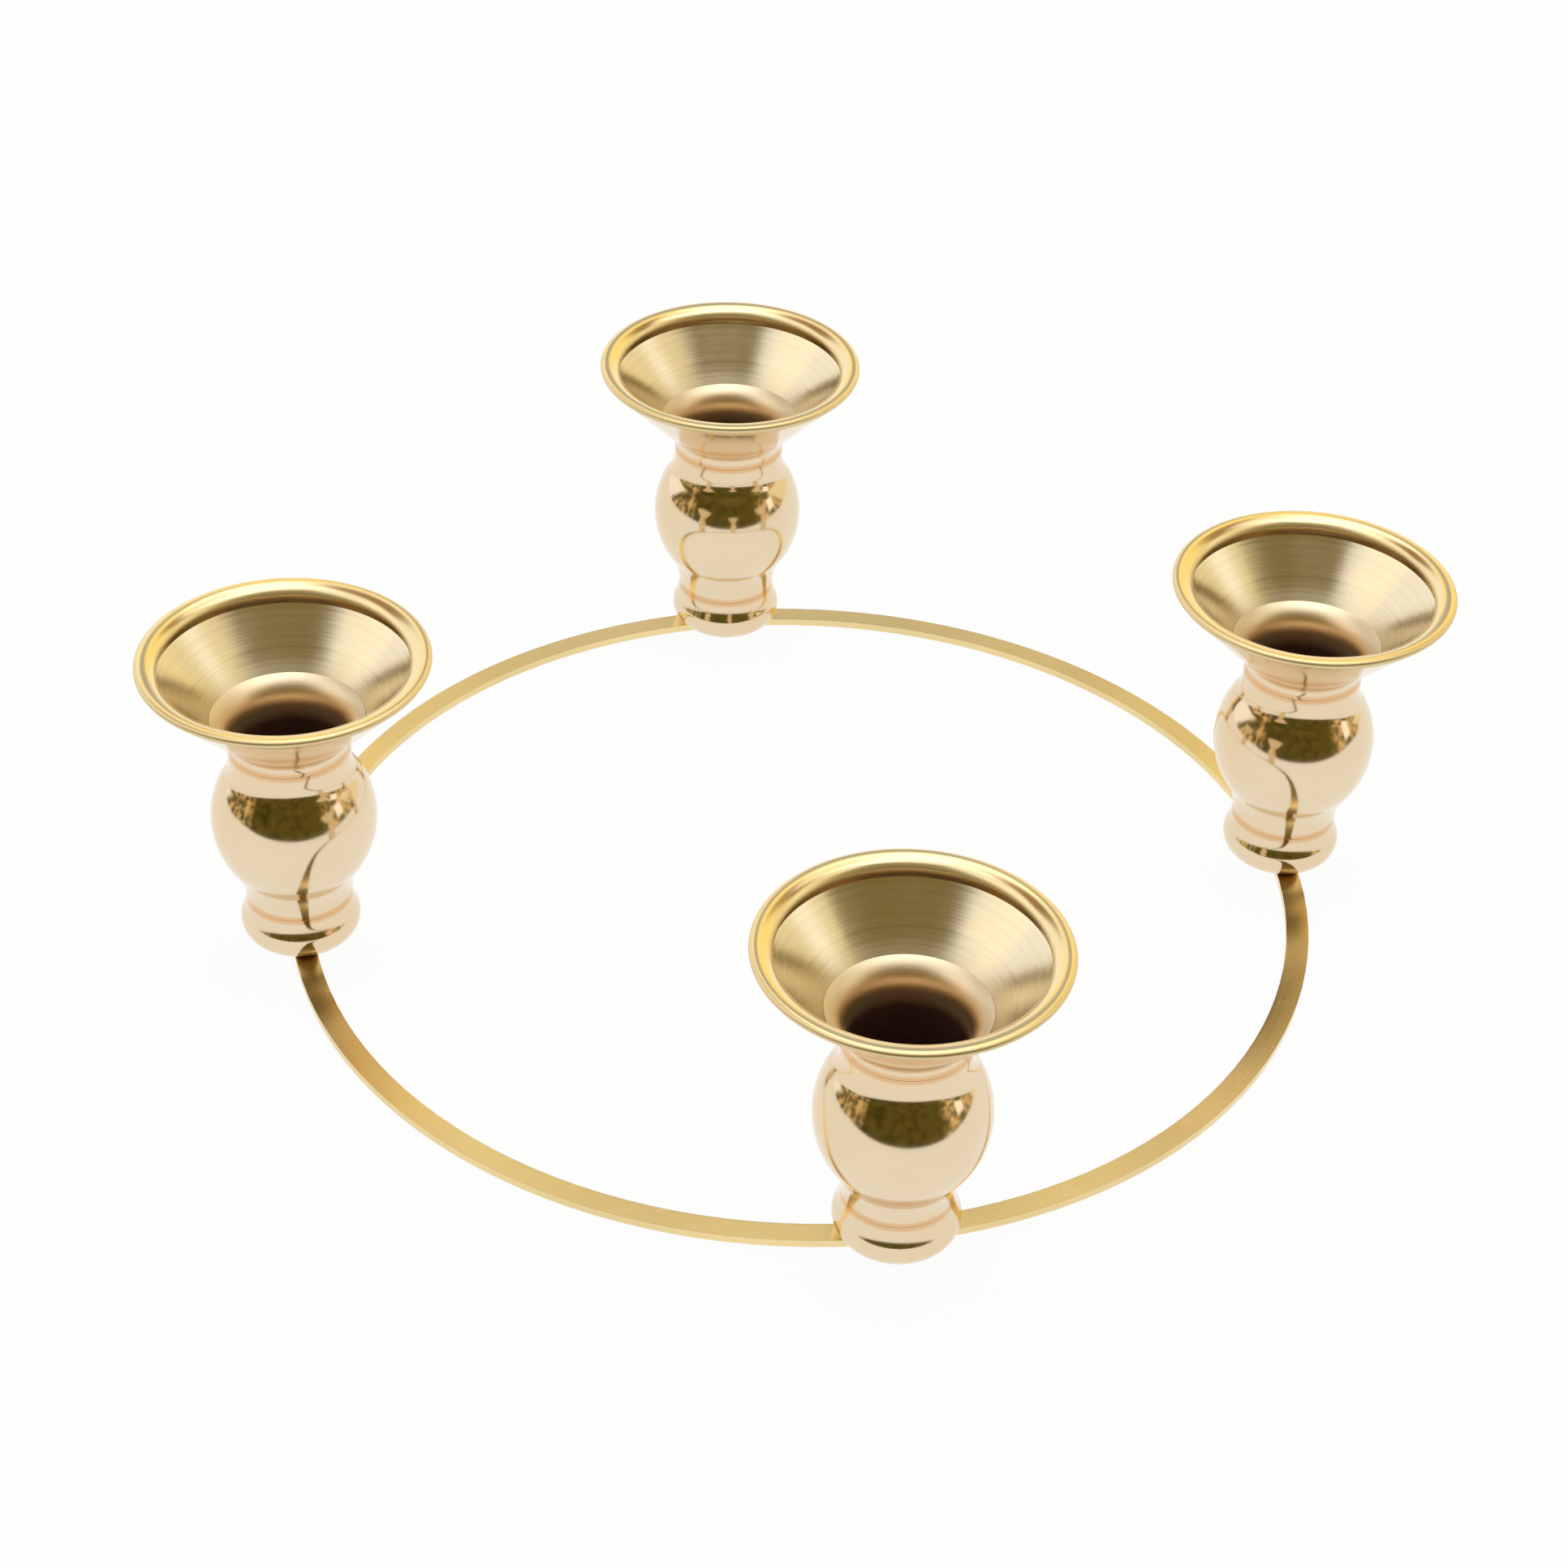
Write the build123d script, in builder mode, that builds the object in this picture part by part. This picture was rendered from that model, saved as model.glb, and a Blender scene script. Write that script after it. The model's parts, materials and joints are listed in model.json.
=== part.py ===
# Four-station candle ring: a flat strip ring, and on it four turned bases, hollow balls and spun drip bowls.
# Millimetres, +Z up, origin at the centre of the ring on the plane it stands on.
import os
from math import acos, asin, atan2, cos, degrees, radians, sin, sqrt

from build123d import *

os.makedirs("parts", exist_ok=True)

# Candle and sheet
candle_d = 22.0
candle_play = 0.2
tube_t = 0.5
bowl_t = 0.5
ball_t = 0.5
slip = 0.05
seat_play = 0.02

# Ring
ring_r = 105.0
strip_w = 4.6
strip_t = 1.6
eye_r = 6.8

# Heights above the standing plane
bead_z = 6.2
waist_z = 12.2
ball_z = 31.3
floor_seat_z = 21.4
throat_z = 49.8
rim_z = 68.45

# Base
waist_r = 10.9
bead_out = 1.35

# Ball
ball_r = 16.75
ball_arc = 19.5
collar_cove = 8.0

# Bowl
neck_l = 0.8
throat_arc = 4.2
rim_r = 29.1
roll_a = 2.3
roll_b = 1.1
roll_tilt = 20.0
roll_drop = 1.3
roll_tuck = 1.0

# Socket tube and its floor
lip_in = 3.2
foot_step = 0.3
mouth_l = 1.2
floor_t = 0.8
floor_play = 0.1
dish_depth = 6.0
dish_r = 5.6

# M3 screw, washer and nut
screw_r = 1.5
screw_l = 20.0
screw_hole_r = 1.7
head_r = 2.9
head_rim = 0.15
head_sink = 0.1
key_af = 2.0
key_depth = 0.9
washer_r = 3.5
washer_t = 0.5
nut_af = 5.5
nut_h = 2.4

# Worked out from the sizes above: the tube stands in the bowl's neck and in the ball's collar
bore_r = candle_d / 2 + candle_play
tube_r = bore_r + tube_t
neck_in = tube_r + slip
neck_r = neck_in + bowl_t
collar_r = neck_in + ball_t
joint_z = throat_z - neck_l
spots = [(ring_r, 0, 0), (0, ring_r, 0), (-ring_r, 0, 0), (0, -ring_r, 0)]

# Base: the bead's arc and the hollow arc that carries it up to the waist
bead_r = waist_r + bead_out
bead_arc = bead_z - strip_t
bead_c = bead_r - bead_arc
base_rise = waist_z - bead_z
base_gap = waist_r - bead_c
base_cove = (base_gap**2 + base_rise**2 - bead_arc**2) / (2 * (bead_arc - base_gap))
base_turn = degrees(asin(base_rise / (bead_arc + base_cove)))

# Ball: one big arc, with a hollow arc below to the waist and one above to the collar
ball_c = ball_r - ball_arc
low_rise = ball_z - waist_z
low_gap = waist_r - ball_c
low_cove = (low_gap**2 + low_rise**2 - ball_arc**2) / (2 * (ball_arc - low_gap))
low_turn = degrees(asin(low_rise / (ball_arc + low_cove)))
top_turn = degrees(acos((collar_r + collar_cove - ball_c) / (ball_arc + collar_cove)))
collar_z = ball_z + (ball_arc + collar_cove) * sin(radians(top_turn))
foot_turn = degrees(asin(ball_t / (low_cove + ball_t)))
low_end = radians(low_turn)
top_end = radians(top_turn)
ball_ends = ((sin(low_end), cos(low_end)), (-sin(top_end), cos(top_end)))
ball_angles = [-low_end + (low_end + top_end) * k / 10 for k in range(11)]
ball_out = [(ball_c + ball_arc * cos(a), ball_z + ball_arc * sin(a)) for a in ball_angles]
ball_in = [(x - ball_t * cos(a), z - ball_t * sin(a)) for (x, z), a in zip(ball_out, ball_angles)]

# Bowl: a straight wall from the throat's arc up into a flattened roll that leans inward
throat_c = neck_r + throat_arc
roll_c = rim_r - sqrt((roll_a * cos(radians(roll_tilt)))**2 + (roll_b * sin(radians(roll_tilt)))**2)
span_r = roll_c - throat_c
span_z = rim_z - throat_z
wall_l = sqrt(span_r**2 + span_z**2 - (throat_arc + roll_drop)**2)
lean = 90 - degrees(atan2(span_z, span_r)) + degrees(atan2(throat_arc + roll_drop, wall_l))

# Socket tube: its mouth is flared over the bowl's throat, and its foot is drawn in to hold the floor
flare_out = throat_c - tube_r
flare_in = throat_c - bore_r
foot_r = bore_r - foot_step
lip_r = foot_r - lip_in
floor_low = floor_seat_z + tube_t
floor_top = floor_low + floor_t
floor_r = foot_r - floor_play

# Floor's dish, with the screw, washer and nut stacked in it
dish_low = floor_low - dish_depth
dish_top = dish_low + floor_t
nut_low = dish_top + washer_t
head_top = head_sink + head_rim
sink_r = head_r + head_top + seat_play

# Ring: flat strip with an eye under each station, countersunk from below
with BuildPart() as ring:
    with BuildSketch():
        Circle(ring_r + strip_w / 2)
        Circle(ring_r - strip_w / 2, mode=Mode.SUBTRACT)
        with Locations(*spots):
            Circle(eye_r)
    extrude(amount=strip_t)
    with Locations(*[(x, y, strip_t / 2) for x, y, z in spots]):
        Cone(sink_r, sink_r - strip_t, strip_t, mode=Mode.SUBTRACT)
ring.part.label = "ring"
export_step(ring.part, "parts/ring.step")

for i, spot in enumerate(spots, start=1):
    upright = Plane(origin=spot, x_dir=(1, 0, 0), z_dir=(0, -1, 0))
    centre = Axis(spot, (0, 0, 1))

    # Base: rounded bead, hollow flare up to a flat top at the waist
    with BuildPart() as base:
        with BuildSketch(upright):
            with BuildLine():
                Line((screw_hole_r, strip_t), (bead_c, strip_t))
                CenterArc((bead_c, bead_z), bead_arc, -90, 90 + base_turn)
                CenterArc((waist_r + base_cove, waist_z), base_cove, 180 + base_turn, -base_turn)
                Line((waist_r, waist_z), (screw_hole_r, waist_z))
                Line((screw_hole_r, waist_z), (screw_hole_r, strip_t))
            make_face()
        revolve(axis=centre)
    base.part.label = f"base_{i}"
    export_step(base.part, f"parts/base_{i}.step")

    # Ball: sheet shell with a flange on the base and a collar under the bowl
    with BuildPart() as ball:
        with BuildSketch(upright):
            with BuildLine():
                Line((screw_hole_r, waist_z), (waist_r, waist_z))
                CenterArc((waist_r + low_cove, waist_z), low_cove, 180, -low_turn)
                Spline(*ball_out, tangents=ball_ends)
                CenterArc((collar_r + collar_cove, collar_z), collar_cove, 180 + top_turn, -top_turn)
                Polyline((collar_r, collar_z), (collar_r, joint_z), (neck_in, joint_z), (neck_in, collar_z))
                CenterArc((collar_r + collar_cove, collar_z), collar_cove + ball_t, 180, top_turn)
                Spline(*ball_in, tangents=ball_ends)
                foot = CenterArc(
                    (waist_r + low_cove, waist_z), low_cove + ball_t, 180 - low_turn, low_turn - foot_turn
                )
                Line(foot @ 1, (screw_hole_r, waist_z + ball_t))
                Line((screw_hole_r, waist_z + ball_t), (screw_hole_r, waist_z))
            make_face()
        revolve(axis=centre)
    ball.part.label = f"ball_{i}"
    export_step(ball.part, f"parts/ball_{i}.step")

    # Drip bowl: short neck on the collar, rounded throat, straight wall and a flattened rolled rim
    with BuildPart() as bowl:
        with BuildSketch(upright):
            with BuildLine():
                Line((neck_r, joint_z), (neck_r, throat_z))
                throat = CenterArc((throat_c, throat_z), throat_arc, 180, -lean)
                wall = Line(throat @ 1, throat @ 1 + throat % 1 * (wall_l + roll_tuck))
                inside = CenterArc((throat_c, throat_z), throat_arc + bowl_t, 180 - lean, lean)
                face = Line(inside @ 0, inside @ 0 + throat % 1 * (wall_l + roll_tuck))
                Line(wall @ 1, face @ 1)
                Polyline((neck_in, throat_z), (neck_in, joint_z), (neck_r, joint_z))
            make_face()
            with Locations((roll_c, rim_z)):
                Ellipse(roll_a, roll_b, rotation=roll_tilt)
        revolve(axis=centre)
    bowl.part.label = f"drip_bowl_{i}"
    export_step(bowl.part, f"parts/drip_bowl_{i}.step")

    # Socket tube: inward lip at the foot, mouth flared over the throat to a thin edge
    with BuildPart() as tube:
        with BuildSketch(upright):
            with BuildLine():
                Polyline((lip_r, floor_seat_z), (tube_r, floor_seat_z), (tube_r, throat_z))
                flare = CenterArc((throat_c, throat_z), flare_out, 180, -lean)
                edge = Line(flare @ 1, flare @ 1 + flare % 1 * mouth_l)
                mouth = CenterArc((throat_c, throat_z), flare_in, 180 - lean, lean)
                Line(edge @ 1, mouth @ 0)
                Polyline(
                    (bore_r, throat_z),
                    (bore_r, floor_top),
                    (foot_r, floor_top),
                    (foot_r, floor_low),
                    (lip_r, floor_low),
                    (lip_r, floor_seat_z),
                )
            make_face()
        revolve(axis=centre)
    tube.part.label = f"socket_tube_{i}"
    export_step(tube.part, f"parts/socket_tube_{i}.step")

    # Socket floor: dished disc on the tube's lip, with the nut down in the dish
    with BuildPart() as floor:
        with BuildSketch(upright):
            with BuildLine():
                Polyline(
                    (screw_hole_r, dish_low),
                    (dish_r + floor_t, dish_low),
                    (dish_r + floor_t, floor_low),
                    (floor_r, floor_low),
                    (floor_r, floor_top),
                    (dish_r, floor_top),
                    (dish_r, dish_top),
                    (screw_hole_r, dish_top),
                    close=True,
                )
            make_face()
        revolve(axis=centre)
    floor.part.label = f"socket_floor_{i}"
    export_step(floor.part, f"parts/socket_floor_{i}.step")

# Clamp screws: countersunk, hexagon key, thread shown as a plain shank
with BuildPart() as screws:
    for spot in spots:
        with BuildSketch(Plane(origin=spot, x_dir=(1, 0, 0), z_dir=(0, -1, 0))):
            with BuildLine():
                Polyline(
                    (0, head_sink),
                    (head_r, head_sink),
                    (head_r, head_top),
                    (screw_r, head_top + head_r - screw_r),
                    (screw_r, head_sink + screw_l),
                    (0, head_sink + screw_l),
                    close=True,
                )
            make_face()
        revolve(axis=Axis(spot, (0, 0, 1)))
    with BuildSketch(Plane.XY.offset(head_sink)):
        with Locations(*spots):
            RegularPolygon(key_af / 2, 6, major_radius=False)
    extrude(amount=key_depth, mode=Mode.SUBTRACT)
screws.part.label = "clamp_screws"
export_step(screws.part, "parts/clamp_screws.step")

# Washers under the nuts
with BuildPart() as washers:
    with BuildSketch(Plane.XY.offset(dish_top)):
        with Locations(*spots):
            Circle(washer_r)
            Circle(screw_r + slip, mode=Mode.SUBTRACT)
    extrude(amount=washer_t)
washers.part.label = "washers"
export_step(washers.part, "parts/washers.step")

# Hexagon nuts in the dishes
with BuildPart() as nuts:
    with BuildSketch(Plane.XY.offset(nut_low)):
        with Locations(*spots):
            RegularPolygon(nut_af / 2, 6, major_radius=False)
            Circle(screw_r + seat_play, mode=Mode.SUBTRACT)
    extrude(amount=nut_h)
nuts.part.label = "nuts"
export_step(nuts.part, "parts/nuts.step")
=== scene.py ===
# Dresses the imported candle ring: turned and spun brass on a white table in a light tent.
import json
import math

import bmesh
import bpy
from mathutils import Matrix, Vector


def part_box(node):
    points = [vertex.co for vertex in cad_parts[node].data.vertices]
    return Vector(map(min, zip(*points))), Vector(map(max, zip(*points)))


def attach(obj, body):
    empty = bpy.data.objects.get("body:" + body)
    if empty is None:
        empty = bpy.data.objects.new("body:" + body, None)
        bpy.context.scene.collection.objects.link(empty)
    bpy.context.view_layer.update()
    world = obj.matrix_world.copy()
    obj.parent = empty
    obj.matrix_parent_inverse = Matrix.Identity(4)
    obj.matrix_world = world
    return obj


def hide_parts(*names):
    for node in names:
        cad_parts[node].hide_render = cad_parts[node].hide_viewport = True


bl_info = {
    "name": "Candle Ring",
    "version": (1, 0, 0),
    "blender": (4, 5, 0),
    "location": "View3D > Sidebar > Candle Ring",
    "description": "Turned, spun and polished brass pieces of a four-station candle ring",
    "category": "Object",
}

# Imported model, the boxes that sizes are read from, and the stations
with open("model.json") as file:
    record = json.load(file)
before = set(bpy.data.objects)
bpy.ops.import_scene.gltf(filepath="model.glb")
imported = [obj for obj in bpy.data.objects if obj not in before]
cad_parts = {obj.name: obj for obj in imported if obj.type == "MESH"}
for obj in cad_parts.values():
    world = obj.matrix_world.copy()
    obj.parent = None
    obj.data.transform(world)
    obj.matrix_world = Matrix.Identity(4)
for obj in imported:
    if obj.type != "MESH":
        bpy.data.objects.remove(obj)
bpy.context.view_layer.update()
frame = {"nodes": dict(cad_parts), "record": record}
ring_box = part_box("ring")
base_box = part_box("base_1")
bowl_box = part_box("drip_bowl_1")
tube_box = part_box("socket_tube_1")
candle_bore = next(m for m in frame["record"]["mounts"] if m["name"] == "candle_socket_1")
stations = (1, 2, 3, 4)

# Meshes: faces round a turned piece, shortest step of an outline, angle of a sharp edge
around = 144
shortest_step = 2e-6
sharp_edge = math.radians(40)

# Rotation of a stretched highlight that follows lines round the axis
quarter_turn = 0.25

# Direction on the table from the ring to the camera
camera_side = (-0.1935, -0.981)


def half_width(box):
    """Radius of a turned piece, read from its CAD box."""
    return (box[1].y - box[0].y) / 2


def station(number):
    """Centre of a station's axis on the table, read from its base."""
    low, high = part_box(f"base_{number}")
    return Vector(((low.x + high.x) / 2, (low.y + high.y) / 2, 0.0))


def length(name, description, default):
    """A size in metres that a user may change."""
    return bpy.props.FloatProperty(
        name=name, description=description, default=default,
        min=0.0, precision=5, unit="LENGTH", subtype="DISTANCE",
    )


def angle(name, description, default, least, most):
    """An angle that a user may change; its values are given in degrees."""
    return bpy.props.FloatProperty(
        name=name, description=description, default=math.radians(default),
        min=math.radians(least), max=math.radians(most), unit="ROTATION", subtype="ANGLE",
    )


def place(name, description, default):
    """A place in metres that a user may change."""
    return bpy.props.FloatVectorProperty(
        name=name, description=description, default=default,
        size=3, unit="LENGTH", subtype="TRANSLATION",
    )


def camera_length(name, description, default):
    """A length of the camera in millimetres that a user may change."""
    return bpy.props.FloatProperty(
        name=name, description=description, default=default,
        min=1.0, unit="CAMERA", subtype="DISTANCE_CAMERA",
    )


def tint(name, description, default, most=1.0):
    """A colour that a user may change."""
    return bpy.props.FloatVectorProperty(
        name=name, description=description, default=default,
        min=0.0, max=most, size=3, subtype="COLOR",
    )


def light(name, description, default):
    """A light's colour that a user may change, where 1 is plain white."""
    return tint(name, description, default, 2.0)


def share(name, description, default):
    """A share from 0 to 1 that a user may change."""
    return bpy.props.FloatProperty(
        name=name, description=description, default=default,
        min=0.0, max=1.0, subtype="FACTOR",
    )


class CandleRingSizes(bpy.types.PropertyGroup):
    """Sizes of the pieces"""

    ring_radius: length("Ring radius", "Radius of the strip's centreline", 0.105)
    strip_width: length("Strip width", "Width of the flat strip", 0.0046)
    sheet: length("Sheet", "Wall of the ball, the bowl and the socket tube", 0.0005)
    slip: length("Slip", "Gap between the socket tube and what it stands in", 0.00005)
    screw_hole: length("Screw hole", "Radius of the hole for the clamp screw", 0.0017)
    foot: length("Foot", "Height of the base's underside", ring_box[1].z)
    bead_height: length("Bead height", "Height of the base's widest line", 0.0062)
    bead_radius: length("Bead radius", "Radius of the base at its bead", half_width(base_box))
    waist_height: length("Waist height", "Height where the ball stands on the base", base_box[1].z)
    waist_radius: length("Waist radius", "Radius of the waist", 0.0109)
    ball_height: length("Ball height", "Height of the ball's widest line", 0.0313)
    ball_radius: length("Ball radius", "Radius of the ball at its widest line", 0.01675)
    ball_arc: length("Ball arc", "Radius of the ball's outline", 0.0195)
    collar_cove: length("Collar cove", "Radius of the hollow under the collar", 0.008)
    joint_height: length(
        "Joint height", "Height where the bowl stands on the ball's collar", bowl_box[0].z
    )
    throat_height: length("Throat height", "Height where the bowl begins to open", 0.0498)
    throat_arc: length("Throat arc", "Outer radius of the bowl's throat bend", 0.0042)
    rim_radius: length(
        "Rim radius", "Radius of the bowl over its rolled rim", half_width(bowl_box)
    )
    rim_top: length("Rim top", "Height of the rolled rim's top", bowl_box[1].z)
    roll_width: length("Roll width", "Half the width of the flattened roll on the rim", 0.0023)
    roll_depth: length("Roll depth", "Half the thickness of the roll", 0.0011)
    roll_tilt: angle("Roll tilt", "How far the roll leans into the bowl", 20, 0, 90)
    roll_drop: length(
        "Roll drop", "Distance from the roll's middle to the wall's outer face", 0.0013
    )
    roll_turn: angle(
        "Roll turn", "How far round the roll turns before it closes onto the wall", 208, 90, 270
    )
    heel: length("Heel", "How far down the wall the roll's inner end runs out", 0.0009)
    bore: length("Bore", "Radius of the candle socket", candle_bore["dims"]["r_mm"] / 1000)
    tube_foot: length("Tube foot", "Height of the socket tube's lower end", tube_box[0].z)
    floor_top: length("Floor top", "Height of the socket's floor", 0.0227)
    foot_step: length("Foot step", "How far the tube is drawn in round its floor", 0.0003)
    lip: length("Lip", "Width of the tube's inward lip", 0.0032)
    mouth_drop: length(
        "Mouth drop", "How far down the bore the tube's mouth begins to open", 0.0044
    )
    mouth: length("Mouth", "How far the tube's rounded lip reaches up the bowl's wall", 0.0034)
    mouth_slope: angle("Mouth slope", "How steeply the rounded lip leaves its edge", 22, 0, 45)
    ease: length("Ease", "Radius on the turned edges", 0.00006)
    strip_ease: length("Strip ease", "Radius on the edges of the strip", 0.00025)
    floor_ease: length("Floor ease", "Radius on the edges of the socket floors", 0.00015)
    fastener_ease: length("Fastener ease", "Radius on the screws, washers and nuts", 0.0001)


class CandleRingFinish(bpy.types.PropertyGroup):
    """Colours and finishes of the brass and the steel"""

    brass: tint("Polished brass", "Colour of the mirror-polished brass", (0.80, 0.66, 0.46))
    warm_brass: tint("Warm brass", "Colour the polish drifts to in places", (0.81, 0.63, 0.41))
    polish: share("Polish", "Roughness of the mirror-polished brass", 0.10)
    rim_gold: tint("Rim gold", "Colour of the rolled rims", (0.84, 0.68, 0.38))
    # Orange in the joints: part tarnish, part painted shade of the creases between the pieces
    tarnish_and_crease_shade: tint("Groove", "Colour of the tarnish in the joints", (0.74, 0.44, 0.20))
    spun_brass: tint("Spun brass", "Colour of the inside of the bowls", (0.85, 0.73, 0.52))
    spun: share("Spun", "Roughness of the spun inside of the bowls", 0.16)
    grain: share("Grain", "How far spun and drawn lines stretch a highlight", 0.6)
    strip_brass: tint("Strip brass", "Colour of the flat strip", (0.90, 0.71, 0.35))
    strip_satin: share("Strip satin", "Roughness of the flat strip", 0.20)
    # Dark brown of the bore below the throat, and of the stains on the socket floors
    socket_brown: tint("Socket brown", "Colour of the tarnished socket", (0.105, 0.044, 0.032))
    throat_gold: tint("Throat gold", "Colour of the socket's rounded mouth", (0.80, 0.57, 0.34))
    zinc: tint("Zinc", "Colour of the plated screws, washers and nuts", (0.62, 0.62, 0.60))


class CandleRingStage(bpy.types.PropertyGroup):
    """Table, tent and camera"""

    table: length("Table", "Half width of the table top", 0.9)
    table_front: length("Table front", "How far the table reaches towards the camera", 0.3)
    table_gap: length("Table gap", "Gap under the ring that keeps the faces apart", 0.00002)
    paper: tint("Paper", "Colour of the table top", (0.96, 0.96, 0.96))
    glow: share("Glow", "How much of the table is plain white to the eye", 0.95)
    room: tint("Room", "Colour of the dark opening of the tent", (0.13, 0.105, 0.02))
    ceiling: tint("Ceiling", "Colour high in the opening of the tent", (0.21, 0.165, 0.05))
    backdrop: tint(
        "Backdrop", "Colour of the daylight at the back of the tent", (0.48, 0.50, 0.56)
    )
    shade: tint("Shade", "Colour of the shaded folds high in the tent", (0.34, 0.20, 0.07))
    clutter: tint(
        "Clutter", "Colour of the lit things at the ends of the opening", (0.80, 0.55, 0.22)
    )
    cloth: light("Cloth", "Colour of the tent's white cloth", (1.15, 1.15, 1.15))
    side_cloth: light("Side cloth", "Colour of the cloth on the right", (1.0, 0.89, 0.60))
    warm_cloth: light("Warm cloth", "Colour of the cloth behind, in warm light", (1.28, 1.06, 0.5))
    side_light: light("Side light", "Colour of the lights left and right", (1.3, 1.28, 1.15))
    window: light("Window", "Colour of the window and glints in the opening", (1.3, 1.25, 1.1))
    lamp_width: length("Lamp width", "Side of the square lamp overhead", 1.4)
    lamp_power: bpy.props.FloatProperty(
        name="Lamp power", description="Power of the lamp overhead in watts", default=6.0,
        min=0.0, unit="POWER", subtype="POWER",
    )
    lamp_place: place("Lamp place", "Middle of the lamp overhead", (0.2, 0.3, 1.7))
    lamp_aim: place("Lamp aim", "Point that the lamp overhead faces", (0.0, 0.0, 0.03))
    camera_place: place("Camera place", "Where the camera stands", (-0.111289, -0.565363, 0.451523))
    camera_turn: bpy.props.FloatVectorProperty(
        name="Camera turn", description="How the camera is turned",
        default=[math.radians(turn) for turn in (53.7097, -1.5679, -9.563)],
        size=3, unit="ROTATION", subtype="EULER",
    )
    lens: camera_length("Lens", "Focal length in millimetres", 79.07)
    sensor: camera_length("Sensor", "Width of the sensor in millimetres", 36.0)
    nearest: length("Nearest", "Distance from which the camera sees things", 0.01)


class CandleRing(bpy.types.PropertyGroup):
    """All settings of the candle ring"""

    sizes: bpy.props.PointerProperty(
        name="Sizes", description="Sizes of the pieces", type=CandleRingSizes
    )
    finish: bpy.props.PointerProperty(
        name="Finish", description="Colours and finishes", type=CandleRingFinish
    )
    stage: bpy.props.PointerProperty(
        name="Stage", description="Table, tent and camera", type=CandleRingStage
    )


class Signal:
    """A shader socket that takes part in sums; each step of a sum is a Math node."""

    def __init__(self, socket):
        self.socket = socket

    @staticmethod
    def node(tree, kind, settings=None, sockets=None, out=0):
        """Adds a node: its settings, then its sockets' values or links. Returns one output."""
        made = tree.nodes.new(kind)
        for key, value in (settings or {}).items():
            setattr(made, key, value)
        for key, value in (sockets or {}).items():
            if isinstance(value, Signal):
                tree.links.new(value.socket, made.inputs[key])
            else:
                made.inputs[key].default_value = value
        return Signal(made.outputs[out]) if made.outputs else None

    def sum(self, operation, *values):
        """A Math node on these values."""
        return Signal.node(
            self.socket.id_data,
            "ShaderNodeMath",
            {"operation": operation},
            dict(enumerate(values)),
        )

    def __add__(self, other):
        return self.sum("ADD", self, other)

    def __sub__(self, other):
        return self.sum("SUBTRACT", self, other)

    def __mul__(self, other):
        return self.sum("MULTIPLY", self, other)

    def __truediv__(self, other):
        return self.sum("DIVIDE", self, other)

    def __pow__(self, other):
        return self.sum("POWER", self, other)

    def __radd__(self, other):
        return self.sum("ADD", other, self)

    def __rsub__(self, other):
        return self.sum("SUBTRACT", other, self)

    def __rmul__(self, other):
        return self.sum("MULTIPLY", other, self)

    def __rtruediv__(self, other):
        return self.sum("DIVIDE", other, self)

    def __rpow__(self, other):
        return self.sum("POWER", other, self)

    def __abs__(self):
        return self.sum("ABSOLUTE", self)

    def most(self, other):
        """The larger of two values."""
        return self.sum("MAXIMUM", self, other)

    def rise(self, low, high):
        """0 below low, 1 above high, with a smooth rise between."""
        return Signal.node(
            self.socket.id_data,
            "ShaderNodeMapRange",
            {"interpolation_type": "SMOOTHSTEP"},
            {"Value": self, "From Min": low, "From Max": high},
        )

    def band(self, start, full, ebb, end):
        """1 from full to ebb, 0 before start and after end, with smooth edges."""
        return self.rise(start, full) * (1 - self.rise(ebb, end))

    def blend(self, first, second):
        """A colour between two colours, by this value."""
        first, second = (
            colour if isinstance(colour, Signal) else (*colour, 1.0) for colour in (first, second)
        )
        mix_factor, mix_first, mix_second, mix_result = 0, 6, 7, 2
        return Signal.node(
            self.socket.id_data,
            "ShaderNodeMix",
            {"data_type": "RGBA"},
            {mix_factor: self, mix_first: first, mix_second: second},
            mix_result,
        )


def spot(tree, source="Object"):
    """The place of a shaded point in its object's own axes, or a direction in the world."""
    return Signal.node(tree, "ShaderNodeTexCoord", out=source)


def split(tree, where):
    """A place's x, y and z, and its distance from the z axis."""
    x, y, z = (
        Signal.node(tree, "ShaderNodeSeparateXYZ", None, {0: where}, out) for out in range(3)
    )
    return x, y, z, (x * x + y * y) ** 0.5


def turned_spot(tree):
    """The place of a point on a turned piece, its height and its distance from the axis."""
    where = spot(tree)
    return (where, *split(tree, where)[2:])


def noise(tree, where, scale, detail=2.0):
    """Cloudy noise, 0 to 1."""
    return Signal.node(
        tree,
        "ShaderNodeTexNoise",
        None,
        {"Vector": where, "Scale": scale, "Detail": detail, "Roughness": 0.55},
    )


def turned_lines(tree, radius, height, spacing, seed):
    """Fine lines round the axis, as a lathe tool or a buff leaves them, 0 to 1."""
    across = Signal.node(tree, "ShaderNodeCombineXYZ", None, {0: radius, 1: seed, 2: height})
    return noise(tree, across, scale=1.0 / spacing, detail=3.0)


def darker(colour, part):
    """A colour brought down to a part of itself."""
    return [channel * part for channel in colour]


def new_finish(name):
    """An empty material with its node tree."""
    finish = bpy.data.materials.new(name)
    finish.use_nodes = True
    finish.node_tree.nodes.clear()
    return finish, finish.node_tree


def coat_metal(tree, colour, roughness, relief, depth, **others):
    """Metal shader with a bump of this relief and depth, and values for other sockets by name."""
    bump = Signal.node(
        tree, "ShaderNodeBump", None, {"Strength": 1.0, "Distance": depth, "Height": relief}
    )
    sockets = {"Base Color": colour, "Metallic": 1.0, "Roughness": roughness, "Normal": bump}
    sockets.update({key.replace("_", " "): value for key, value in others.items()})
    metal = Signal.node(tree, "ShaderNodeBsdfPrincipled", None, sockets)
    Signal.node(tree, "ShaderNodeOutputMaterial", None, {"Surface": metal})


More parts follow.
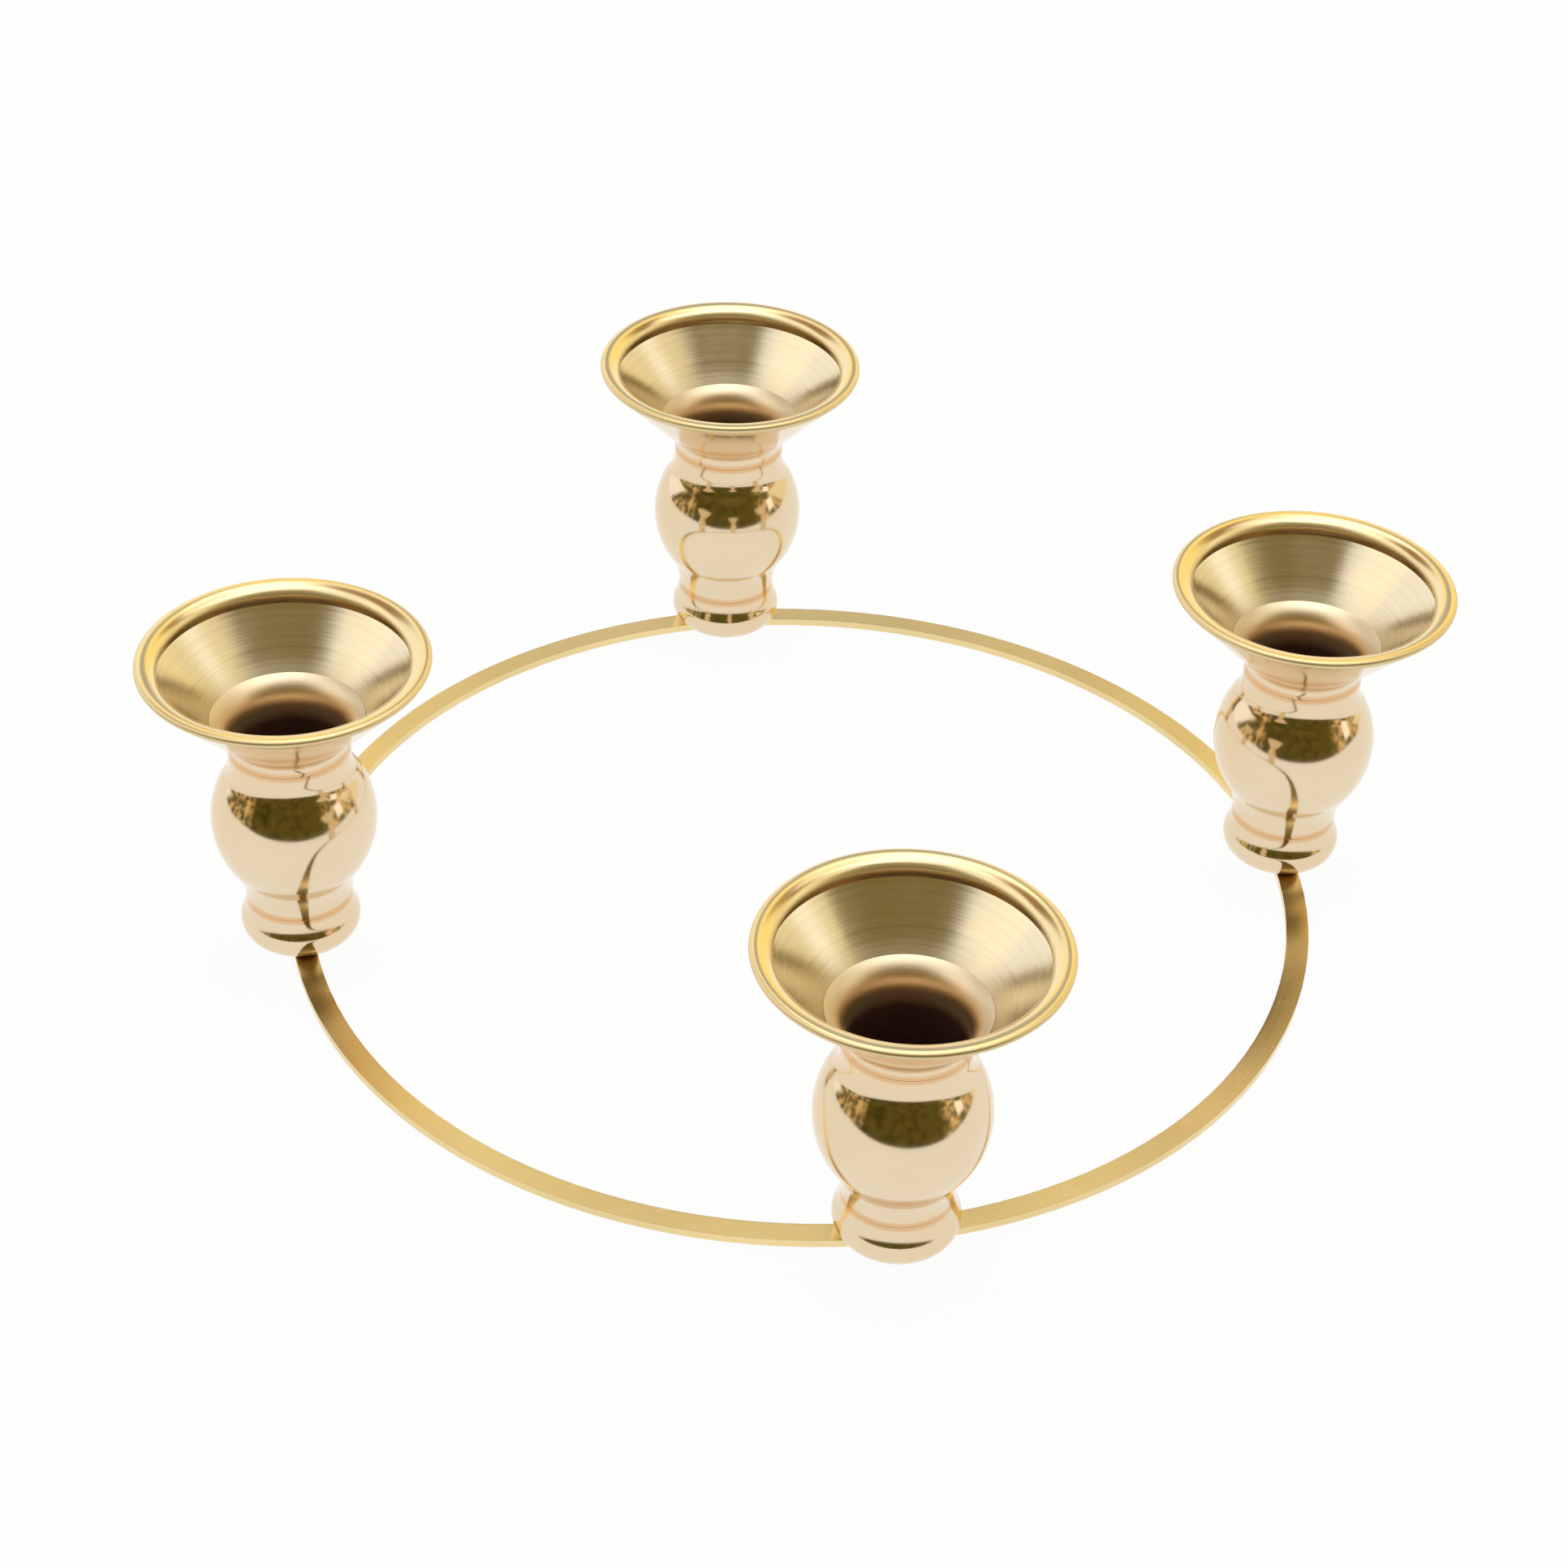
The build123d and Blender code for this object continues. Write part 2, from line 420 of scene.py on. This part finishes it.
def polished_brass(settings, sizes):
    """Buffed mirror brass: buff lines, hand marks, tarnish and painted shade in the joints, and
    golden rims.
    """
    finish, tree = new_finish("polished_brass")
    where, height, radius = turned_spot(tree)
    lines = turned_lines(tree, radius, height, spacing=0.0003, seed=0.0)
    marks = noise(tree, where, scale=90.0, detail=4.0).rise(0.45, 0.8)
    drift = noise(tree, where, scale=45.0).rise(0.35, 0.75)
    colour = drift.blend(settings.brass, settings.warm_brass)

    # Tarnish and painted shade: an orange tint in the creases at the joints, by the square of the
    # distance from a joint
    tarnish_and_shade, full_square, bare_square = 0.8, 1e-7, 1.6e-6
    for joint in (sizes.waist_height, sizes.joint_height):
        away = height - joint
        tarnish_and_crease_shade = tarnish_and_shade - tarnish_and_shade * (away * away).rise(full_square, bare_square)
        colour = tarnish_and_crease_shade.blend(colour, settings.tarnish_and_crease_shade)

    # Rim: golden, satin, and dull where it is handled and where it tucks under
    top, wide = sizes.rim_top, sizes.rim_radius
    colour = height.rise(top - 0.004, top - 0.002).blend(colour, settings.rim_gold)
    rim = height.rise(top - 0.0034, top - 0.0026)
    handled = radius.rise(wide - 0.0009, wide - 0.0003)
    tucked = 1 - radius.rise(wide - 0.0043, wide - 0.0036)
    dull_rim = rim * (0.07 + 0.3 * handled.most(tucked))
    roughness = settings.polish + 0.03 * marks + 0.03 * lines + dull_rim
    coat_metal(tree, colour, roughness, relief=lines, depth=0.000002)
    return finish


def shared_polish(ring):
    """The polished brass, made once for all the pieces that have it."""
    made = bpy.data.materials.get("polished_brass")
    return made or polished_brass(ring.finish, ring.sizes)


def spun_brass(settings, sizes):
    """Spun inside of a bowl: ripples and fine tool lines round the axis, duller by the throat."""
    finish, tree = new_finish("spun_brass")
    where, height, radius = turned_spot(tree)
    fine = turned_lines(tree, radius, height, spacing=0.0005, seed=0.3)
    ripples = turned_lines(tree, radius, height, spacing=0.003, seed=0.7)
    marks = noise(tree, where, scale=70.0, detail=4.0).rise(0.4, 0.8)
    colour = fine.rise(0.3, 0.7).blend(darker(settings.spun_brass, 0.9), settings.spun_brass)
    throat = sizes.throat_height
    worked = 1 - height.rise(throat + 0.003, throat + 0.0105)
    roughness = settings.spun + 0.05 * fine + 0.04 * marks + 0.2 * worked
    relief = ripples * (1 + 0.5 * worked) + fine * 0.05
    stretch = {"Anisotropic": settings.grain, "Anisotropic_Rotation": quarter_turn}
    coat_metal(tree, colour, roughness, relief, depth=0.00005, **stretch)
    return finish


def throat_brass(settings, sizes):
    """Rounded mouth of the socket: satin brass, dark brown and less metallic down inside the bore.
    """
    finish, tree = new_finish("throat_brass")
    where, height, radius = turned_spot(tree)
    lines = turned_lines(tree, radius, height, spacing=0.0004, seed=0.5)
    clouds = noise(tree, where, scale=120.0, detail=3.0)

    # Dark brown below the throat, with a ragged edge, and the colour of the bowl's inside at the
    # lip's edge
    throat, ragged = sizes.throat_height, 0.0012
    up_from_bore = (height + clouds * ragged).rise(throat - 0.0028, throat + 0.0028)
    brown = clouds.blend(darker(settings.socket_brown, 0.5), settings.socket_brown)
    colour = up_from_bore.blend(brown, settings.throat_gold)
    colour = height.rise(throat + 0.0032, throat + 0.0054).blend(colour, settings.spun_brass)
    roughness = 0.5 - 0.14 * up_from_bore + 0.08 * lines
    coat_metal(tree, colour, roughness, lines, depth=0.00001, Metallic=0.25 + 0.75 * up_from_bore)
    return finish


def satin_strip(settings, sizes):
    """Rolled strip: drawn lines along it, small dull spots and slightly brighter rubbed edges."""
    finish, tree = new_finish("satin_strip")
    where, height, radius = turned_spot(tree)
    lines = turned_lines(tree, radius, height, spacing=0.0005, seed=0.1)
    spots = noise(tree, where, scale=260.0, detail=4.0).rise(0.55, 0.8)
    drift = noise(tree, where, scale=22.0).rise(0.3, 0.7)
    half, rub = sizes.strip_width / 2, 0.0004
    edge = abs(radius - sizes.ring_radius).rise(half - rub, half)
    colour = drift.blend(settings.strip_brass, darker(settings.strip_brass, 0.88))
    colour = (spots * 0.35).blend(colour, settings.warm_brass)
    roughness = settings.strip_satin + 0.1 * lines + 0.06 * spots - 0.06 * edge
    coat_metal(tree, colour, roughness, lines, depth=0.00001, Anisotropic=settings.grain)
    return finish


def plate_brass(settings):
    """Dull pressed floor of a socket, browned by wax and smoke."""
    finish, tree = new_finish("plate_brass")
    stains = noise(tree, spot(tree), scale=180.0, detail=5.0).rise(0.35, 0.7)
    colour = stains.blend(settings.strip_brass, settings.socket_brown)
    coat_metal(tree, colour, 0.42 + 0.25 * stains, relief=stains, depth=0.00003)
    return finish


def zinc_plate(settings):
    """Zinc plate on the screws, washers and nuts: mottled, a little dull."""
    finish, tree = new_finish("zinc_plate")
    mottle = noise(tree, spot(tree), scale=900.0, detail=4.0)
    colour = mottle.rise(0.3, 0.7).blend(darker(settings.zinc, 0.8), settings.zinc)
    coat_metal(tree, colour, 0.28 + 0.2 * mottle, relief=mottle, depth=0.00001)
    return finish


def arc(centre, radius, start, end, steps):
    """Points on an arc, in degrees, both ends included."""
    turns = [math.radians(start + (end - start) * k / steps) for k in range(steps + 1)]
    return [(centre[0] + radius * math.cos(t), centre[1] + radius * math.sin(t)) for t in turns]


def bend(start, corner, end, steps):
    """Points on a smooth bend from start to end that turns at a corner, start left out."""
    points = []
    for k in range(1, steps + 1):
        t = k / steps
        pulled = Vector(start) * (1 - t) ** 2 + Vector(corner) * 2 * t * (1 - t)
        points.append(tuple(pulled + Vector(end) * t**2))
    return points


def between(start, end, steps):
    """Points on a straight line, both ends left out."""
    return [tuple(Vector(start).lerp(Vector(end), k / steps)) for k in range(1, steps)]


def eased(points, corners, radius):
    """The outline with these corners, given by their points, rounded to a small radius."""
    done = []
    same_point = 1e-7
    for k, point in enumerate(points):
        if not any(math.dist(point, corner) < same_point for corner in corners):
            done.append(point)
            continue
        here = Vector(point)
        back = (Vector(points[k - 1]) - here).normalized()
        ahead = (Vector(points[(k + 1) % len(points)]) - here).normalized()
        first, last = here + back * radius, here + ahead * radius
        done += [tuple(first)] + bend(first, here, last, 4)
    return done


def lathe(name, number, outline, finishes, node):
    """Turns a closed outline of radius and height points round a station's axis.

    finishes pairs each material with a test of radius and height; the first that holds counts.
    """
    kept = [p for k, p in enumerate(outline) if math.dist(p, outline[k - 1]) > shortest_step]
    shape = bmesh.new()
    rings = []
    for k in range(around):
        turn = 2 * math.pi * k / around
        x, y = math.cos(turn), math.sin(turn)
        rings.append([shape.verts.new((r * x, r * y, z)) for r, z in kept])
    for k in range(around):
        here, there = rings[k], rings[(k + 1) % around]
        for j in range(len(kept)):
            face = shape.faces.new((here[j - 1], there[j - 1], there[j], here[j]))
            middle = [(a + b) / 2 for a, b in zip(kept[j - 1], kept[j])]
            fits = [test(*middle) for material, test in finishes]
            face.material_index = fits.index(True)
            face.smooth = True
    bmesh.ops.recalc_face_normals(shape, faces=shape.faces)
    mesh = bpy.data.meshes.new(name)
    shape.to_mesh(mesh)
    shape.free()
    for material, test in finishes:
        mesh.materials.append(material)
    mesh.set_sharp_from_angle(angle=sharp_edge)
    piece = bpy.data.objects.new(name, mesh)
    piece.location = station(number)
    bpy.context.scene.collection.objects.link(piece)
    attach(piece, "root")
    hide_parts(node)


def lathe_stations(name, outline, finishes, node):
    """Turns one outline at every station."""
    for number in stations:
        lathe(f"{name}_{number}", number, outline, finishes, f"{node}_{number}")


def everywhere(radius, height):
    """True for the whole of a piece."""
    return True


def base_outline(s):
    """Base: flat foot, rounded bead and a hollow flare up to the waist."""
    bead = s.bead_height - s.foot
    middle = s.bead_radius - bead
    rise = s.waist_height - s.bead_height
    gap = s.waist_radius - middle
    cove = (gap**2 + rise**2 - bead**2) / (2 * (bead - gap))
    turn = math.degrees(math.asin(rise / (bead + cove)))
    points = [(s.screw_hole, s.foot)]
    points += arc((middle, s.bead_height), bead, -90, turn, 36)
    points += arc((s.waist_radius + cove, s.waist_height), cove, 180 + turn, 180, 16)[1:]
    points += [(s.screw_hole, s.waist_height)]
    return eased(points, [(s.waist_radius, s.waist_height)], s.ease)


def ball_outline(s):
    """Ball: a sheet shell from its flange on the base, out round the ball and in to the collar."""
    collar = s.bore + 2 * s.sheet + s.slip
    inner = s.bore + s.sheet + s.slip
    middle = s.ball_radius - s.ball_arc
    rise = s.ball_height - s.waist_height
    gap = s.waist_radius - middle
    cove = (gap**2 + rise**2 - s.ball_arc**2) / (2 * (s.ball_arc - gap))
    low = math.degrees(math.asin(rise / (s.ball_arc + cove)))
    reach = s.ball_arc + s.collar_cove
    top = math.degrees(math.acos((collar + s.collar_cove - middle) / reach))
    collar_height = s.ball_height + reach * math.sin(math.radians(top))
    foot = math.degrees(math.asin(s.sheet / (cove + s.sheet)))
    low_middle = (s.waist_radius + cove, s.waist_height)
    top_middle = (collar + s.collar_cove, collar_height)
    ball_middle = (middle, s.ball_height)
    points = [(s.screw_hole, s.waist_height)]
    points += arc(low_middle, cove, 180, 180 - low, 14)
    points += arc(ball_middle, s.ball_arc, -low, top, 48)[1:]
    points += arc(top_middle, s.collar_cove, 180 + top, 180, 14)[1:]
    points += [(collar, s.joint_height), (inner, s.joint_height)]
    points += arc(top_middle, s.collar_cove + s.sheet, 180, 180 + top, 8)
    points += arc(ball_middle, s.ball_arc - s.sheet, top, -low, 20)[1:]
    points += arc(low_middle, cove + s.sheet, 180 - low, 180 - foot, 6)[1:]
    points += [(s.screw_hole, s.waist_height + s.sheet)]
    return eased(points, [(s.waist_radius, s.waist_height), (collar, s.joint_height)], s.ease)


def bowl_lean(s):
    """The wall's angle from upright, and the middles of the throat bend and of the roll."""
    across, up = math.cos(s.roll_tilt), math.sin(s.roll_tilt)
    throat = (s.bore + 2 * s.sheet + s.slip + s.throat_arc, s.throat_height)
    roll = (
        s.rim_radius - math.hypot(s.roll_width * across, s.roll_depth * up),
        s.rim_top - math.hypot(s.roll_width * up, s.roll_depth * across),
    )
    rise = math.atan2(roll[1] - throat[1], roll[0] - throat[0])
    turn = math.asin((s.throat_arc + s.roll_drop) / math.dist(throat, roll))
    return 90 - math.degrees(rise - turn), throat, roll


def wall_axes(slope):
    """Directions along the bowl's wall and square to it, into the bowl."""
    along = Vector((math.cos(slope), math.sin(slope)))
    across = Vector((-math.sin(slope), math.cos(slope)))
    return along, across


def roll_outline(s, roll, foot, slope, steps):
    """The flattened roll, from the wall's outer face over the top and round its inner end."""
    across, up = math.cos(s.roll_tilt), math.sin(s.roll_tilt)

    def level(r, z):
        wide, deep = r * across + z * up, z * across - r * up
        return Vector((wide / s.roll_width, deep / s.roll_depth))

    step = level(math.cos(slope), math.sin(slope))
    start = level(foot[0] - roll[0], foot[1] - roll[1])
    half, square = start.dot(step), step.dot(step)
    ahead = (-half - math.sqrt(half**2 - square * (start.dot(start) - 1))) / square
    hit = start + step * ahead
    first = math.atan2(hit.y, hit.x)
    points = []
    for k in range(steps + 1):
        turn = first + (s.roll_turn - first) * k / steps
        wide, deep = s.roll_width * math.cos(turn), s.roll_depth * math.sin(turn)
        points.append((roll[0] + wide * across - deep * up, roll[1] + wide * up + deep * across))
    return points


def bowl_outline(s):
    """Drip bowl: short neck, throat bend, straight wall and a flattened rolled rim."""
    lean, throat, roll = bowl_lean(s)
    neck = throat[0] - s.throat_arc
    outside = arc(throat, s.throat_arc, 180, 180 - lean, 16)
    inside = arc(throat, s.throat_arc + s.sheet, 180 - lean, 180, 12)
    slope = math.radians(90 - lean)
    rim = roll_outline(s, roll, outside[-1], slope, 72)
    along, across = wall_axes(slope)
    last = Vector(rim[-1])
    above = (last - Vector(inside[0])).dot(across)
    heel = tuple(last - across * above - along * s.heel)
    points = [(neck - s.sheet, s.joint_height), (neck, s.joint_height)]
    points += outside + between(outside[-1], rim[0], 12) + rim + [heel]
    points += between(heel, inside[0], 20) + inside
    return eased(points, [(neck, s.joint_height)], s.ease)


def tube_outline(s):
    """Socket tube: inward lip at its foot, candle bore, mouth turned over in a rounded lip."""
    lean, throat = bowl_lean(s)[:2]
    outer = s.bore + s.sheet
    foot = s.bore - s.foot_step
    lip = foot - s.lip
    low = s.tube_foot + s.sheet
    flare = arc(throat, throat[0] - outer, 180, 180 - lean, 12)
    slope = math.radians(90 - lean)
    end = flare[-1]
    edge = (end[0] + s.mouth * math.cos(slope), end[1] + s.mouth * math.sin(slope))
    corner = (s.bore, edge[1] - (edge[0] - s.bore) * math.tan(s.mouth_slope))
    mouth = bend(edge, corner, (s.bore, corner[1] - s.mouth_drop), 24)
    points = [(lip, s.tube_foot), (outer, s.tube_foot)]
    points += flare + [edge] + mouth
    points += [(s.bore, s.floor_top), (foot, s.floor_top), (foot, low), (lip, low)]
    return points


def finish_nodes(names, material, ease):
    """Gives CAD nodes a finish and rounded edges."""
    for name in names:
        node = frame["nodes"][name]
        node.data.materials.clear()
        node.data.materials.append(material)
        round_off = node.modifiers.new("eased edges", "BEVEL")
        round_off.width = ease
        round_off.segments = 3
        round_off.limit_method = "ANGLE"
        round_off.angle_limit = sharp_edge
        round_off.harden_normals = True


class CANDLERING_OT_bases(bpy.types.Operator):
    """Turn the bases that stand on the ring"""

    bl_idname = "candle_ring.bases"
    bl_label = "Bases"

    def execute(self, context):
        ring = context.scene.candle_ring
        finishes = [(shared_polish(ring), everywhere)]
        outline = base_outline(ring.sizes)
        lathe_stations("turned_base", outline, finishes, "base")
        return {"FINISHED"}


class CANDLERING_OT_balls(bpy.types.Operator):
    """Turn the hollow balls"""

    bl_idname = "candle_ring.balls"
    bl_label = "Balls"

    def execute(self, context):
        ring = context.scene.candle_ring
        finishes = [(shared_polish(ring), everywhere)]
        outline = ball_outline(ring.sizes)
        lathe_stations("hollow_ball", outline, finishes, "ball")
        return {"FINISHED"}


class CANDLERING_OT_drip_bowls(bpy.types.Operator):
    """Spin the drip bowls: polished outside and on the rim, spun lines inside"""

    bl_idname = "candle_ring.drip_bowls"
    bl_label = "Drip bowls"

    def execute(self, context):
        ring = context.scene.candle_ring
        sizes = ring.sizes
        brass = shared_polish(ring)
        spun = spun_brass(ring.finish, sizes)
        lean, throat, roll = bowl_lean(sizes)
        along, across = wall_axes(math.radians(90 - lean))
        wall = Vector(throat) + across * (sizes.throat_arc + sizes.sheet)
        wall_start, wall_end = -0.0001, (Vector(roll) - wall).dot(along)
        off_wall = sizes.sheet * 0.1

        def inside(radius, height):
            away = Vector((radius, height)) - wall
            return abs(away.dot(across)) < off_wall and wall_start < away.dot(along) < wall_end

        finishes = [(spun, inside), (brass, everywhere)]
        outline = bowl_outline(sizes)
        lathe_stations("spun_bowl", outline, finishes, "drip_bowl")
        return {"FINISHED"}


class CANDLERING_OT_socket_tubes(bpy.types.Operator):
    """Draw the socket tubes with their rounded mouths"""

    bl_idname = "candle_ring.socket_tubes"
    bl_label = "Socket tubes"

    def execute(self, context):
        ring = context.scene.candle_ring
        finishes = [(throat_brass(ring.finish, ring.sizes), everywhere)]
        outline = tube_outline(ring.sizes)
        lathe_stations("flared_tube", outline, finishes, "socket_tube")
        return {"FINISHED"}


class CANDLERING_OT_strip(bpy.types.Operator):
    """Finish the flat strip ring, its edges and eyes"""

    bl_idname = "candle_ring.strip"
    bl_label = "Strip ring"

    def execute(self, context):
        ring = context.scene.candle_ring
        finish_nodes(["ring"], satin_strip(ring.finish, ring.sizes), ring.sizes.strip_ease)
        return {"FINISHED"}


class CANDLERING_OT_floors(bpy.types.Operator):
    """Finish the pressed floors of the sockets"""

    bl_idname = "candle_ring.floors"
    bl_label = "Socket floors"

    def execute(self, context):
        ring = context.scene.candle_ring
        names = [f"socket_floor_{number}" for number in stations]
        finish_nodes(names, plate_brass(ring.finish), ring.sizes.floor_ease)
        return {"FINISHED"}


class CANDLERING_OT_fasteners(bpy.types.Operator):
    """Finish the clamp screws, washers and nuts"""

    bl_idname = "candle_ring.fasteners"
    bl_label = "Screws, washers and nuts"

    def execute(self, context):
        ring = context.scene.candle_ring
        names = ["clamp_screws", "washers", "nuts"]
        finish_nodes(names, zinc_plate(ring.finish), ring.sizes.fastener_ease)
        return {"FINISHED"}


def lay_table(stage):
    """White table top: plain white to the eye and in the metal, with the object's soft shadow."""
    finish, tree = new_finish("white_paper")
    camera, glossy, through = (
        Signal.node(tree, "ShaderNodeLightPath", out=name)
        for name in ("Is Camera Ray", "Is Glossy Ray", "Is Transmission Ray")
    )
    seen = camera.most(glossy).most(through) * stage.glow
    paper = Signal.node(tree, "ShaderNodeBsdfDiffuse", None, {"Color": (*stage.paper, 1.0)})
    white = Signal.node(
        tree, "ShaderNodeEmission", None, {"Color": (1.0, 1.0, 1.0, 1.0), "Strength": 1.0}
    )
    both = Signal.node(tree, "ShaderNodeMixShader", None, {0: seen, 1: paper, 2: white})
    Signal.node(tree, "ShaderNodeOutputMaterial", None, {"Surface": both})
    mesh = bpy.data.meshes.new("table_top")
    half = stage.table
    corners = [(-half, -half, 0), (half, -half, 0), (half, half, 0), (-half, half, 0)]
    mesh.from_pydata(corners, [], [(0, 1, 2, 3)])
    mesh.materials.append(finish)
    table = bpy.data.objects.new("table_top", mesh)
    table.location = (0.0, half - stage.table_front, -stage.table_gap)
    bpy.context.scene.collection.objects.link(table)


def hang_tent(stage):
    """White light tent: dark opening to the camera, warm cloth, side lights, folds high behind.

    Heights run from -1, straight down, to 1, straight up. near, right and back run from -1 to 1
    round the horizon, as the camera sees it.
    """
    world = bpy.data.worlds.new("light_tent")
    world.use_nodes = True
    tree = world.node_tree
    tree.nodes.clear()
    where = spot(tree, "Generated")
    x, y, height, flat = split(tree, where)
    level = flat.most(0.001)
    near = (x * camera_side[0] + y * camera_side[1]) / level
    right = (x * -camera_side[1] + y * camera_side[0]) / level
    back = 0 - near

    # White cloth all round, warmer on the right and behind
    side = right.rise(0.35, 0.65) * (1 - height.rise(0.75, 0.9))
    warm = right.rise(-0.34, -0.2) * back.rise(0.55, 0.8) * height.band(0.15, 0.4, 0.8, 0.95)
    sky = side.blend(stage.cloth, stage.side_cloth)
    sky = warm.blend(sky, stage.warm_cloth)

    # Lights left and right, a column of daylight behind and shaded folds high up
    left = (0 - right).rise(0.8, 0.9) * near.rise(-0.35, -0.2) * height.band(0.3, 0.42, 0.76, 0.84)
    opposite = right.rise(0.5, 0.8) * back.band(-0.15, 0.15, 0.2, 0.5)
    opposite = opposite * height.band(0.25, 0.42, 0.54, 0.7)
    daylight = back.rise(0.984, 0.996) * height.band(0.2, 0.4, 0.8, 0.95)
    folds = back.band(0.35, 0.5, 0.86, 0.95) * height.band(0.58, 0.7, 0.95, 0.98)
    sky = left.most(opposite).blend(sky, stage.side_light)
    sky = daylight.blend(sky, stage.backdrop)
    sky = folds.blend(sky, stage.shade)

    # Dark opening, with lit things at its ends and a window in it
    turned = near + right * 0.16 * height.rise(0.45, 0.62)
    opening = (turned - height).rise(-0.26, -0.16) * height.band(-0.5, -0.4, 0.90, 0.95)
    ends = 1 - near.rise(0.45, 0.7)
    blobs = noise(tree, where, scale=7.0, detail=3.0).rise(0.48, 0.58)
    blobs = blobs * ends * (1 - height.rise(0.3, 0.5))
    glints = noise(tree, where, scale=16.0, detail=1.0).rise(0.62, 0.7)
    glints = glints * ends * (1 - height.rise(0.2, 0.35))
    window = right.rise(0.0, 0.01) * near.band(0.1, 0.12, 0.3, 0.32)
    window = window * height.band(0.06, 0.08, 0.28, 0.3)
    room = noise(tree, where, scale=5.0).rise(0.4, 0.7).blend(stage.room, darker(stage.room, 0.45))
    room = height.rise(0.4, 0.72).blend(room, stage.ceiling)
    room = blobs.blend(room, stage.clutter)
    room = window.most(glints).blend(room, stage.window)

    # Plain white to the eye
    camera = Signal.node(tree, "ShaderNodeLightPath", out="Is Camera Ray")
    colour = camera.blend(opening.blend(sky, room), (1.0, 1.0, 1.0))
    tent = Signal.node(tree, "ShaderNodeBackground", None, {"Color": colour})
    Signal.node(tree, "ShaderNodeOutputWorld", None, {"Surface": tent})
    bpy.context.scene.world = world


def hang_lamp(stage):
    """Soft square lamp overhead."""
    lamp = bpy.data.lights.new("top_softbox", "AREA")
    lamp.shape = "SQUARE"
    lamp.size = stage.lamp_width
    lamp.energy = stage.lamp_power
    box = bpy.data.objects.new("top_softbox", lamp)
    box.location = stage.lamp_place
    box.rotation_euler = (stage.lamp_aim - box.location).to_track_quat("-Z", "Y").to_euler()
    bpy.context.scene.collection.objects.link(box)


def stand_camera(stage):
    """Camera at the photograph's viewing angle."""
    view = bpy.data.cameras.new("photo_view")
    view.lens = stage.lens
    view.sensor_width = stage.sensor
    view.clip_start = stage.nearest
    camera = bpy.data.objects.new("photo_view", view)
    camera.location = stage.camera_place
    camera.rotation_euler = stage.camera_turn
    bpy.context.scene.collection.objects.link(camera)
    bpy.context.scene.camera = camera


class CANDLERING_OT_stage(bpy.types.Operator):
    """Lay the white table, hang the light tent and set the camera"""

    bl_idname = "candle_ring.stage"
    bl_label = "Stage"

    def execute(self, context):
        stage = context.scene.candle_ring.stage
        context.scene.view_settings.view_transform = "Standard"
        lay_table(stage)
        hang_tent(stage)
        hang_lamp(stage)
        stand_camera(stage)
        return {"FINISHED"}


class CANDLERING_PT_panel(bpy.types.Panel):
    """Candle ring's settings and steps"""

    bl_idname = "CANDLERING_PT_panel"
    bl_label = "Candle Ring"
    bl_space_type = "VIEW_3D"
    bl_region_type = "UI"
    bl_category = "Candle Ring"

    def draw(self, context):
        ring = context.scene.candle_ring
        for group in (ring.sizes, ring.finish, ring.stage):
            box = self.layout.box()
            for name in group.__annotations__:
                box.prop(group, name)
        for step in steps:
            self.layout.operator(step.bl_idname)


steps = (
    CANDLERING_OT_stage,
    CANDLERING_OT_strip,
    CANDLERING_OT_bases,
    CANDLERING_OT_balls,
    CANDLERING_OT_drip_bowls,
    CANDLERING_OT_socket_tubes,
    CANDLERING_OT_floors,
    CANDLERING_OT_fasteners,
)
groups = (CandleRingSizes, CandleRingFinish, CandleRingStage, CandleRing)


def register():
    """Adds the classes and the scene's settings."""
    for part in (*groups, *steps, CANDLERING_PT_panel):
        bpy.utils.register_class(part)
    bpy.types.Scene.candle_ring = bpy.props.PointerProperty(type=CandleRing)


def unregister():
    """Takes the settings and the classes away."""
    del bpy.types.Scene.candle_ring
    for part in reversed((*groups, *steps, CANDLERING_PT_panel)):
        bpy.utils.unregister_class(part)


def main():
    """Makes every piece in order."""
    register()
    bpy.ops.candle_ring.stage()
    bpy.ops.candle_ring.strip()
    bpy.ops.candle_ring.bases()
    bpy.ops.candle_ring.balls()
    bpy.ops.candle_ring.drip_bowls()
    bpy.ops.candle_ring.socket_tubes()
    bpy.ops.candle_ring.floors()
    bpy.ops.candle_ring.fasteners()
    bpy.context.view_layer.update()


if __name__ == "__main__":
    main()
